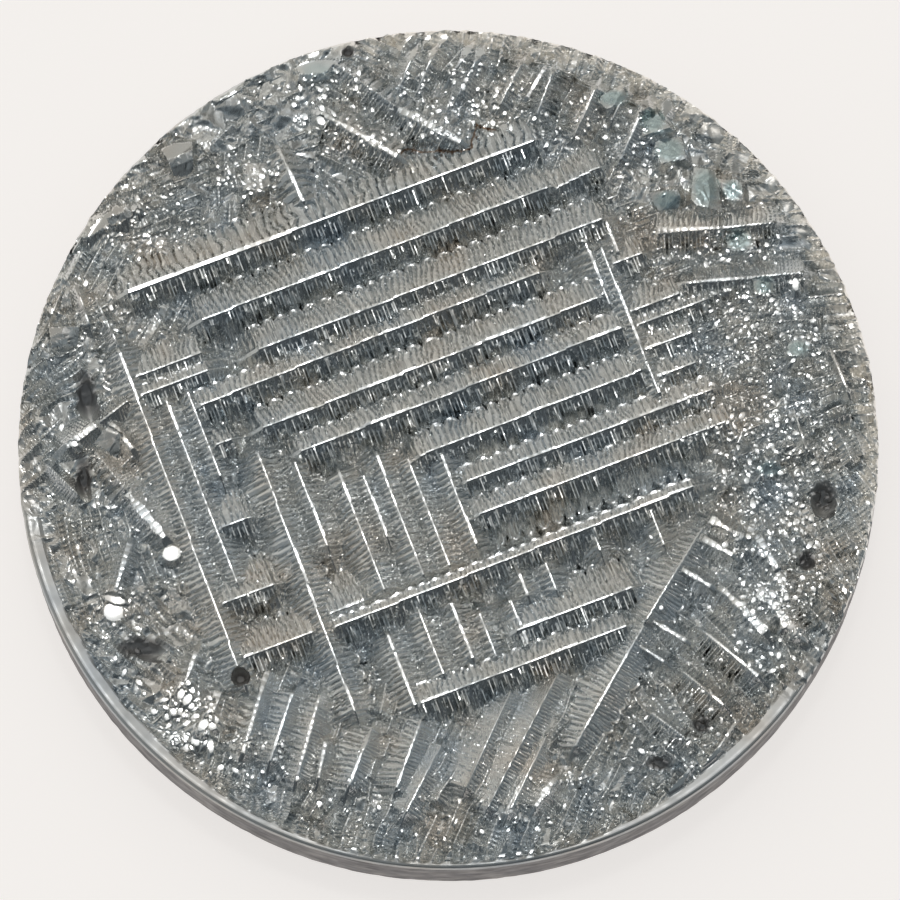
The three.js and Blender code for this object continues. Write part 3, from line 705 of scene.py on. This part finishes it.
    def flash(self, x, y, size, spread, level, seed):
        """A small face near a level, whose lean grows with the spread."""
        found = self.near(x, y, size)
        if found is None:
            return
        pick = SITES[seed & 255, 77 + (seed >> 8)]
        u, v = turned(self.x[found] - x, self.y[found] - y, math.tau * pick[0])
        long, wide = size * (0.3 + 0.25 * pick[1]), size * (0.2 + 0.15 * pick[2])
        out = (np.hypot(u / long, v / wide) - 1) * wide
        near = out < 0.2
        lean = spread * ((pick[4] - 0.5) * u + (pick[5] - 0.5) * v)
        lean -= FLASH_CURVE / size * (u * u + v * v)
        self.raise_to(found[near], (level + lean - 1.2 * np.maximum(out, 0))[near])
        inside = out < 0
        self.z[found[inside]] = (level + lean)[inside]

    def keep_to_rim(self):
        """Rounds the face over towards the side wall."""
        radius = np.hypot(self.x, self.y)
        inward = np.maximum(RADIUS - radius, 0)
        slope = THICKNESS - 0.55 * np.clip(1 - (inward - 0.5) / 1.4, 0, 1)
        round_over = np.sqrt(1 - (1 - np.minimum(inward / 0.5, 1)) ** 2)
        edge = WALL_TOP + 0.26 * round_over + 0.42 * np.maximum(inward - 0.35, 0)
        far = far_side(self.x, self.y)
        wrinkles = (1 - 0.75 * far) * grains(self.x / 0.45, self.y / 0.45, 11)
        wrinkles += (1 + 0.8 * far) * grains(self.x / 0.19, self.y / 0.19, 12)
        skin = 0.1 * wrinkles * np.clip(inward / 0.25, 0, 1)
        limit = np.minimum(slope, edge + skin)
        self.z = np.minimum(np.minimum(self.z, limit), THICKNESS - 0.001)
        lip = WALL_TOP + 0.22 * np.sqrt(1 - (1 - np.minimum(inward / 0.22, 1)) ** 2)
        lip -= 0.14 * np.maximum(inward - 0.3, 0) + 0.006 * waves(self.x / 0.6, self.y / 0.6, 13)
        fade = near_side(self.x, self.y) * np.clip((lip_width(self.x, self.y) - inward) / 0.15, 0, 1)
        self.z += (lip - self.z) * fade


def gap_behind(along, across, along_end):
    """Distance from a long ridge to the next one on its far side."""
    gaps = [other[1] - across for other in LONG_RIDGES
            if other[1] > across + 0.3 and other[0] < along_end - 1 and other[2] > along + 1]
    return min(gaps, default=2.4)


def shaped_face(x, y):
    """The open face over the points x, y with its ridges, flat crystals and pits."""
    face = Face(x, y)
    for i, (along, across, along_end, across_end, top) in enumerate(LONG_RIDGES):
        ends = from_grain(along, across), from_grain(along_end, across_end)
        far_style = "wavy" if i == 0 else "fine"
        reach = FAR_SHARE * gap_behind(along, across, along_end)
        face.ridge(*ends, top, CREST, LONG_FLANK, SHORT_FLANK, far_style, "blade", i, axis=1, reach=reach,
                   broad=0.4 if i == 0 else 0.0)
    for i, (along, across, along_end, across_end, top) in enumerate(CROSS_RIDGES):
        ends = from_grain(along, across), from_grain(along_end, across_end)
        face.ridge(*ends, top, CREST, CROSS_FLANK, CROSS_FLANK, "fine", "fine", 50 + i, axis=0)
    for i, (x0, y0, x1, y1, *rest) in enumerate(OUTER_RIDGES):
        face.ridge((x0, y0), (x1, y1), *rest, 100 + i, bend=OUTER_BEND)
    for i, block in enumerate(BLOCKS):
        face.block(*block, i)
    for pit in PITS:
        face.pit(*pit)
    face.z += FINEST * waves(x / 0.1, y / 0.1, 71)
    return face


def glitter():
    """The small faces that flash, scattered and listed: X, Y, size, lean, level."""
    flecks = []
    for x, y, reach_x, reach_y, count, size, lean in GLITTER:
        for _ in range(count):
            angle, outward, share = RNG.random(3)
            place = turned(GLITTER_SPREAD * math.sqrt(outward), 0, math.tau * angle)
            own_size = size * (0.4 + 0.6 * share ** 2)
            flecks.append((x + reach_x * place[0], y + reach_y * place[1], own_size, lean))
    flecks += [(*flash, FLASH_LEAN) for flash in FLASHES]
    steps = np.linspace(-0.8, 0.8, 5)
    around_x, around_y = np.meshgrid(steps, steps)
    middles = np.array(flecks)
    x = middles[:, :1] + middles[:, 2:3] * around_x.ravel()
    y = middles[:, 1:2] + middles[:, 2:3] * around_y.ravel()
    heights = shaped_face(x.ravel(), y.ravel()).z.reshape(x.shape)
    levels = np.percentile(heights, 60, axis=1) + FLECK_RISE
    return [(*fleck, level) for fleck, level in zip(flecks, levels)]


def crystal_face(x, y, flecks):
    """Heights of the open face with its flecks over the points x, y, in millimetres."""
    face = shaped_face(x, y)
    for i, fleck in enumerate(flecks):
        face.flash(*fleck, i)
    face.keep_to_rim()
    return face.z


# Meshes

def points_of(mesh):
    """The places of a mesh's points, one row each."""
    places = np.empty(len(mesh.vertices) * 3, np.float32)
    mesh.vertices.foreach_get("co", places)
    return places.reshape(-1, 3).astype(float)


def move_points(mesh, places):
    """Puts a mesh's points at their new places."""
    mesh.vertices.foreach_set("co", places.astype(np.float32).ravel())
    mesh.update()


def from_line(x, y, line):
    """Distances of points from a line of joined stretches."""
    nearest = np.full(x.shape, 99.0)
    for (x0, y0), (x1, y1) in zip(line, line[1:]):
        length = math.dist((x0, y0), (x1, y1))
        forward = ((x1 - x0) / length, (y1 - y0) / length)
        along = np.clip((x - x0) * forward[0] + (y - y0) * forward[1], 0, length)
        nearest = np.minimum(nearest, np.hypot(x - x0 - along * forward[0], y - y0 - along * forward[1]))
    return nearest


def paint(mesh, name, values):
    """Keeps a number for each point, which the material reads."""
    mesh.attributes.new(name, "FLOAT", "POINT").data.foreach_set("value", values.astype(np.float32))


def add_piece(name, mesh, material, skin, frost_and_light):
    """Adds a finished piece. Its last two arguments say how much of the dull cast skin, whose dark colour is
    also painted shade on the side wall and in the pits, and of the pale grain of the far edge, whose pale
    colour is also painted light on that shoulder, each point has, from 0 to 1."""
    places = points_of(mesh) / MM
    wander = 0.1 * waves(places[:, 0] / 0.3, places[:, 1] / 0.3, 41)
    apart = from_line(places[:, 0] + wander, places[:, 1] - wander, STAIN_LINE)
    film = np.zeros(len(places))
    for x, y, half_length, half_width, *_ in BLOCKS:
        out = np.hypot((places[:, 0] - x) / half_length, (places[:, 1] - y) / half_width)
        film = np.maximum(film, np.clip(2.0 - 1.6 * out, 0, 1))
    # The pits get painted shade: the dark skin colour darkens their hollows
    for x, y, along, across, *_ in PITS:
        out = np.hypot((places[:, 0] - x) / along, (places[:, 1] - y) / across)
        skin = np.maximum(skin, np.clip(1.7 - 1.6 * out, 0, PIT_SHADE))
    paint(mesh, "film", film * far_side(places[:, 0], places[:, 1]))
    paint(mesh, "stain", np.clip(1.4 - apart / STAIN_HALF_WIDTH, 0, 1))
    # This number is also painted shade on the side wall and in the pits
    paint(mesh, "skin", skin)
    paint(mesh, "frost_and_light", frost_and_light)
    piece = bpy.data.objects.new(name, mesh)
    bpy.context.scene.collection.objects.link(piece)
    mesh.materials.append(material)
    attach(piece, "root")
    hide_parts("tellurium_disc")


def plate(name, side_u, side_v, material, flecks):
    """A quarter of the crystal face, as a closed slab with a fine top."""
    count = math.ceil(PLATE_RADIUS / CELL)
    span = count * CELL
    bm = bmesh.new()
    bmesh.ops.create_grid(bm, x_segments=count, y_segments=count, size=span / 2)
    bmesh.ops.translate(bm, verts=bm.verts, vec=(side_u * span / 2, side_v * span / 2, 0))
    outside = [v for v in bm.verts if math.hypot(v.co.x, v.co.y) > PLATE_RADIUS + PLATE_OVERLAP]
    bmesh.ops.delete(bm, geom=outside, context="VERTS")
    border = [e for e in bm.edges if e.is_boundary]
    walls = bmesh.ops.extrude_edge_only(bm, edges=border)["geom"]
    low = [v for v in walls if isinstance(v, bmesh.types.BMVert)]
    for v in low:
        v.co.z = LOW_MARK
    bmesh.ops.holes_fill(bm, edges=[e for e in bm.edges if e.is_boundary], sides=0)
    bmesh.ops.rotate(bm, verts=bm.verts, cent=(0, 0, 0), matrix=Matrix.Rotation(GRAIN_TURN, 3, "Z"))
    bmesh.ops.recalc_face_normals(bm, faces=bm.faces)
    mesh = bpy.data.meshes.new(name)
    bm.to_mesh(mesh)
    bm.free()
    places = points_of(mesh)
    top = places[:, 2] > LOW_MARK / 2
    heights = crystal_face(places[top, 0], places[top, 1], flecks)
    radius = np.hypot(places[top, 0], places[top, 1])
    heights -= PLATE_PLUNGE * np.maximum(radius - PLATE_RADIUS, 0)
    places[top, 2] = heights
    places[~top, 2] = SLAB_FLOOR
    move_points(mesh, places * MM)
    bare = np.zeros(len(places))
    add_piece(name, mesh, material, bare, bare)


def rim_profile():
    """Radius and height pairs from the underside's middle, round the wall, to the seat's middle."""
    foot = RADIUS - DRAFT
    pairs = [(0, 0)]
    pairs += [(r, 0) for r in np.linspace(FIRST_RING, foot - FOOT_ROUND, FLOOR_RINGS)]
    for a in np.linspace(-90, 0, FOOT_RINGS)[1:]:
        angle = math.radians(a)
        r = foot - FOOT_ROUND + FOOT_ROUND * math.cos(angle)
        pairs.append((r, FOOT_ROUND + FOOT_ROUND * math.sin(angle)))
    for t in np.linspace(0, 1, WALL_RINGS)[1:]:
        pairs.append((foot + DRAFT * t, FOOT_ROUND + (WALL_TOP - FOOT_ROUND) * t))
    for r in np.linspace(RADIUS - EDGE_GAP, PLATE_RADIUS - RIM_OVERLAP, EDGE_RINGS):
        pairs.append((r, VALLEY))
    pairs.append((PLATE_RADIUS - 2 * RIM_OVERLAP, SEAT))
    pairs.append((0, SEAT))
    return pairs


def rim(name, material, flecks):
    """The cast body: underside, side wall and the rounded shoulder of the open face."""
    profile = rim_profile()
    steps = len(profile) - 1
    bm = bmesh.new()
    bmesh.ops.create_grid(bm, x_segments=RIM_SEGMENTS, y_segments=steps, size=1)
    for v in bm.verts:
        angle = (v.co.x + 1) * math.pi
        r, z = profile[round((v.co.y + 1) / 2 * steps)]
        v.co = (r * math.cos(angle), r * math.sin(angle), z)
    bmesh.ops.remove_doubles(bm, verts=bm.verts, dist=1e-4)
    bmesh.ops.recalc_face_normals(bm, faces=bm.faces)
    mesh = bpy.data.meshes.new(name)
    bm.to_mesh(mesh)
    bm.free()
    places = points_of(mesh)
    x, y = places[:, 0].copy(), places[:, 1].copy()
    radius = np.hypot(x, y)
    top = (places[:, 2] > VALLEY - 0.01) & (radius > PLATE_RADIUS - 1.5 * RIM_OVERLAP)
    places[top, 2] = crystal_face(x[top], y[top], flecks)
    outer = np.clip((radius - RADIUS + 0.6) / 0.5, 0, 1) * np.clip((places[:, 2] - 2.2) / 0.8, 0, 1)
    crumble = 0.5 * grains(x / 0.5, y / 0.5, 24) + 0.25 * grains(x / 0.2, y / 0.2, 25)
    shrink = 1 - EDGE_CRUMBLE * outer * np.clip(0.35 - crumble, 0, 1) * (1 - near_side(x, y))
    places[:, :2] *= shrink[:, None]
    wall = (radius > RADIUS - DRAFT - 0.5 * FOOT_ROUND) & ~top
    angle = np.arctan2(places[wall, 1], places[wall, 0])
    around = angle * RADIUS
    wrinkle = WALL_WRINKLE * (waves(around / 1.7, places[wall, 2] / 0.35, 21) - 1)
    wrinkle += WALL_GRAIN * (waves(around / 0.35, places[wall, 2] / 0.2, 22) - 1)
    places[wall, 0] += wrinkle * np.cos(angle)
    places[wall, 1] += wrinkle * np.sin(angle)
    move_points(mesh, places * MM)
    lip = np.clip((radius - RADIUS + lip_width(x, y)) / 0.15, 0, 1) * near_side(x, y)
    # Pale grain of the far edge; its pale colour is also painted light on that shoulder
    grain_width = 0.8 + 0.5 * waves(x / 0.5, y / 0.5, 23)
    grainy_and_lit = np.clip((radius - RADIUS + grain_width) / 0.4, 0, 1) * far_side(x, y)
    # The wall and underside take the dull skin in full, which on the side wall is also painted shade; the lip
    # takes a share
    add_piece(name, mesh, material, np.where(top, LIP_SKIN * lip, 1.0), np.where(top, grainy_and_lit, 0.0))


# Materials

def node_material(name):
    """A new material, its node tree and its shader."""
    material = bpy.data.materials.new(name)
    material.use_nodes = True
    tree = material.node_tree
    tree.nodes.clear()
    out = tree.nodes.new("ShaderNodeOutputMaterial")
    shader = tree.nodes.new("ShaderNodeBsdfPrincipled")
    tree.links.new(shader.outputs["BSDF"], out.inputs["Surface"])
    return material, tree, shader


def noise_node(tree, scale, detail, flatten=1.0):
    """Noise over the object's own coordinates, pressed flat along Z where flatten is above 1."""
    coordinates = tree.nodes.new("ShaderNodeTexCoord")
    mapping = tree.nodes.new("ShaderNodeMapping")
    mapping.inputs["Scale"].default_value = (1, 1, flatten)
    noise = tree.nodes.new("ShaderNodeTexNoise")
    noise.inputs["Scale"].default_value = scale
    noise.inputs["Detail"].default_value = detail
    tree.links.new(coordinates.outputs["Object"], mapping.inputs["Vector"])
    tree.links.new(mapping.outputs["Vector"], noise.inputs["Vector"])
    return noise


def ramp(tree, source, stops):
    """A colour ramp after a source socket, from (place, colour) stops."""
    node = tree.nodes.new("ShaderNodeValToRGB")
    while len(node.color_ramp.elements) < len(stops):
        node.color_ramp.elements.new(0.5)
    for element, (place, colour) in zip(node.color_ramp.elements, stops):
        element.position = place
        element.color = (*colour, 1)
    tree.links.new(source, node.inputs["Fac"])
    return node.outputs["Color"]


def grey_stops(low, high, start=0.3, end=0.7):
    """Stops of a ramp from one grey to another."""
    return [(start, (low,) * 3), (end, (high,) * 3)]


def attribute(tree, name):
    """A number that the mesh keeps for each of its points."""
    node = tree.nodes.new("ShaderNodeAttribute")
    node.attribute_name = name
    return node.outputs["Fac"]


def calculated(tree, operation, *values):
    """The result of a Math node whose inputs are sockets or plain numbers."""
    node = tree.nodes.new("ShaderNodeMath")
    node.operation = operation
    for socket, value in zip(node.inputs, values):
        if isinstance(value, float):
            socket.default_value = value
        else:
            tree.links.new(value, socket)
    return node.outputs["Value"]


def blend(tree, share, first, second):
    """A colour between two, from the first at share 0 to the second, a socket or a colour, at 1."""
    mix = tree.nodes.new("ShaderNodeMix")
    mix.data_type = "RGBA"
    tree.links.new(share, mix.inputs["Factor"])
    tree.links.new(first, mix.inputs[6])
    if isinstance(second, tuple):
        mix.inputs[7].default_value = second
    else:
        tree.links.new(second, mix.inputs[7])
    return mix.outputs[2]


def tellurium():
    """Bare metal with a dull cast skin that is also painted shade on the side wall and in the pits, a bluish
    film, a pale grain that is also painted light on the far shoulder, and a stain where they are painted.
    """
    material, tree, shader = node_material("tellurium")
    shader.inputs["Metallic"].default_value = 1.0
    tint = noise_node(tree, 420, 3)
    bare = ramp(tree, tint.outputs["Fac"], BARE_METAL)
    mottle = noise_node(tree, 800, 9, flatten=2.2)
    dull = ramp(tree, mottle.outputs["Fac"], DULL_SKIN_AND_SHADE)
    skin = attribute(tree, "skin")
    filmed = blend(tree, attribute(tree, "film"), bare, FILM_COLOUR)
    # Pale grain colour, which is also painted light on the far shoulder
    frost_and_light = attribute(tree, "frost_and_light")
    frosted = blend(tree, frost_and_light, filmed, FROST_AND_LIGHT_COLOUR)
    # The dull skin colour is also painted shade on the side wall and in the pits
    cast = blend(tree, skin, frosted, dull)
    stained = blend(tree, attribute(tree, "stain"), cast, STAIN_COLOUR)
    tree.links.new(stained, shader.inputs["Base Color"])
    gloss = noise_node(tree, 1500, 2)
    bright = ramp(tree, gloss.outputs["Fac"], grey_stops(*BRIGHT_ROUGHNESS))
    matt = ramp(tree, gloss.outputs["Fac"], grey_stops(*MATT_ROUGHNESS))
    frost_share = calculated(tree, "MULTIPLY", frost_and_light, FROST_MATT)
    rough = calculated(tree, "MAXIMUM", calculated(tree, "MULTIPLY", skin, 2.0), frost_share)
    tree.links.new(blend(tree, rough, bright, matt), shader.inputs["Roughness"])
    return material


def studio_floor():
    """The pale floor that the disc lies on, which shines a little itself."""
    material, _, shader = node_material("studio_floor")
    shader.inputs["Base Color"].default_value = FLOOR_COLOUR
    shader.inputs["Roughness"].default_value = 0.9
    shader.inputs["Emission Color"].default_value = FLOOR_GLOW_COLOUR
    shader.inputs["Emission Strength"].default_value = FLOOR_GLOW
    bm = bmesh.new()
    bmesh.ops.create_grid(bm, x_segments=1, y_segments=1, size=FLOOR_HALF_SIDE)
    mesh = bpy.data.meshes.new("studio_floor")
    bm.to_mesh(mesh)
    bm.free()
    mesh.materials.append(material)
    floor = bpy.data.objects.new("studio_floor", mesh)
    bpy.context.scene.collection.objects.link(floor)


# Light and camera

def direction(azimuth, elevation):
    """A unit vector towards a place in the sky: azimuth 0 is +Y, 90 is +X."""
    a, e = math.radians(azimuth), math.radians(elevation)
    return np.array((math.sin(a) * math.cos(e), math.cos(a) * math.cos(e), math.sin(e)))


def vector_math(tree, operation, first, second):
    """A Vector Math node over a socket and a second one, or a direction in its place."""
    node = tree.nodes.new("ShaderNodeVectorMath")
    node.operation = operation
    tree.links.new(first, node.inputs[0])
    if isinstance(second, tuple):
        node.inputs[1].default_value = second
    else:
        tree.links.new(second, node.inputs[1])
    return node


def stretched(tree, source, low, high, top=1.0):
    """A number that runs from 0 where the source is low to the top where it is high."""
    node = tree.nodes.new("ShaderNodeMapRange")
    node.inputs["From Min"].default_value = low
    node.inputs["From Max"].default_value = high
    node.inputs["To Max"].default_value = top
    tree.links.new(source, node.inputs["Value"])
    return node.outputs["Result"]


def side_light(tree, toward):
    """Strength of the sky: the part behind the disc is brighter towards the left."""
    parts = tree.nodes.new("ShaderNodeSeparateXYZ")
    tree.links.new(toward, parts.inputs["Vector"])
    behind = calculated(tree, "MAXIMUM", parts.outputs["Y"], 0.0)
    right_of_behind = calculated(tree, "MULTIPLY", behind, parts.outputs["X"])
    return calculated(tree, "MULTIPLY_ADD", right_of_behind, SIDE_FADE, 1.0)


def sky():
    """A clouded sky, warm grey behind the disc and dark on the viewer's side, with a glow round the key."""
    world = bpy.data.worlds.new("sky")
    bpy.context.scene.world = world
    world.use_nodes = True
    tree = world.node_tree
    tree.nodes.clear()
    out = tree.nodes.new("ShaderNodeOutputWorld")
    background = tree.nodes.new("ShaderNodeBackground")
    tree.links.new(background.outputs["Background"], out.inputs["Surface"])
    toward = tree.nodes.new("ShaderNodeTexCoord").outputs["Generated"]
    behind = vector_math(tree, "DOT_PRODUCT", toward, SKY_BEHIND).outputs["Value"]
    colour = ramp(tree, stretched(tree, behind, -1, 1), SKY_COLOURS)
    clouds = tree.nodes.new("ShaderNodeTexNoise")
    clouds.inputs["Scale"].default_value = CLOUD_SCALE
    clouds.inputs["Detail"].default_value = 2
    tree.links.new(toward, clouds.inputs["Vector"])
    light = ramp(tree, clouds.outputs["Fac"], grey_stops(*CLOUD_LIGHT, 0.35, 0.65))
    clouded = vector_math(tree, "MULTIPLY", colour, light).outputs["Vector"]
    key = tuple(direction(*KEY_DIRECTION))
    near_key = vector_math(tree, "DOT_PRODUCT", toward, key).outputs["Value"]
    glow = stretched(tree, near_key, KEY_GLOW_FROM, 1.0, KEY_GLOW)
    lit = vector_math(tree, "ADD", clouded, glow).outputs["Vector"]
    tree.links.new(lit, background.inputs["Color"])
    tree.links.new(side_light(tree, toward), background.inputs["Strength"])


def lamp(name, azimuth, elevation, distance, size, watts):
    """A round lamp that points at the disc."""
    light = bpy.data.lights.new(name, "AREA")
    light.shape = "DISK"
    light.size = size
    light.energy = watts
    lamp_object = bpy.data.objects.new(name, light)
    place = Vector(direction(azimuth, elevation) * distance)
    lamp_object.location = place
    lamp_object.rotation_euler = place.to_track_quat("Z", "Y").to_euler()
    bpy.context.scene.collection.objects.link(lamp_object)


def camera():
    """The camera of the photograph, aimed so that the open face lies on the same pixels."""
    lens = bpy.data.cameras.new("camera")
    lens.sensor_width = 36
    lens.lens = lens.sensor_width * CAMERA_DISTANCE / (PHOTO_SIDE * MM_PER_PIXEL * MM)
    lens.clip_start = 0.01
    lens.clip_end = 10
    camera_object = bpy.data.objects.new("camera", lens)
    back = Vector(direction(180, CAMERA_ELEVATION))
    turn = back.to_track_quat("Z", "Y")
    right, up = turn @ Vector((1, 0, 0)), turn @ Vector((0, 1, 0))
    off_x = (PHOTO_SIDE / 2 - TOP_CENTRE_PIXEL[0]) * MM_PER_PIXEL * MM
    off_y = (PHOTO_SIDE / 2 - TOP_CENTRE_PIXEL[1]) * MM_PER_PIXEL * MM
    target = Vector((0, 0, VALLEY * MM)) + right * off_x - up * off_y
    camera_object.location = target + back * CAMERA_DISTANCE
    camera_object.rotation_euler = turn.to_euler()
    bpy.context.scene.collection.objects.link(camera_object)
    bpy.context.scene.camera = camera_object


bpy.context.scene.view_settings.view_transform = "Standard"
camera()
sky()
studio_floor()
lamp("key_light", *KEY_DIRECTION, KEY_DISTANCE, KEY_SIZE, KEY_WATTS)

flecks_of_face = glitter()
metal = tellurium()
rim("rim", metal, flecks_of_face)
plate("plate_far_right", 1, 1, metal, flecks_of_face)
plate("plate_far_left", -1, 1, metal, flecks_of_face)
plate("plate_near_left", -1, -1, metal, flecks_of_face)
plate("plate_near_right", 1, -1, metal, flecks_of_face)
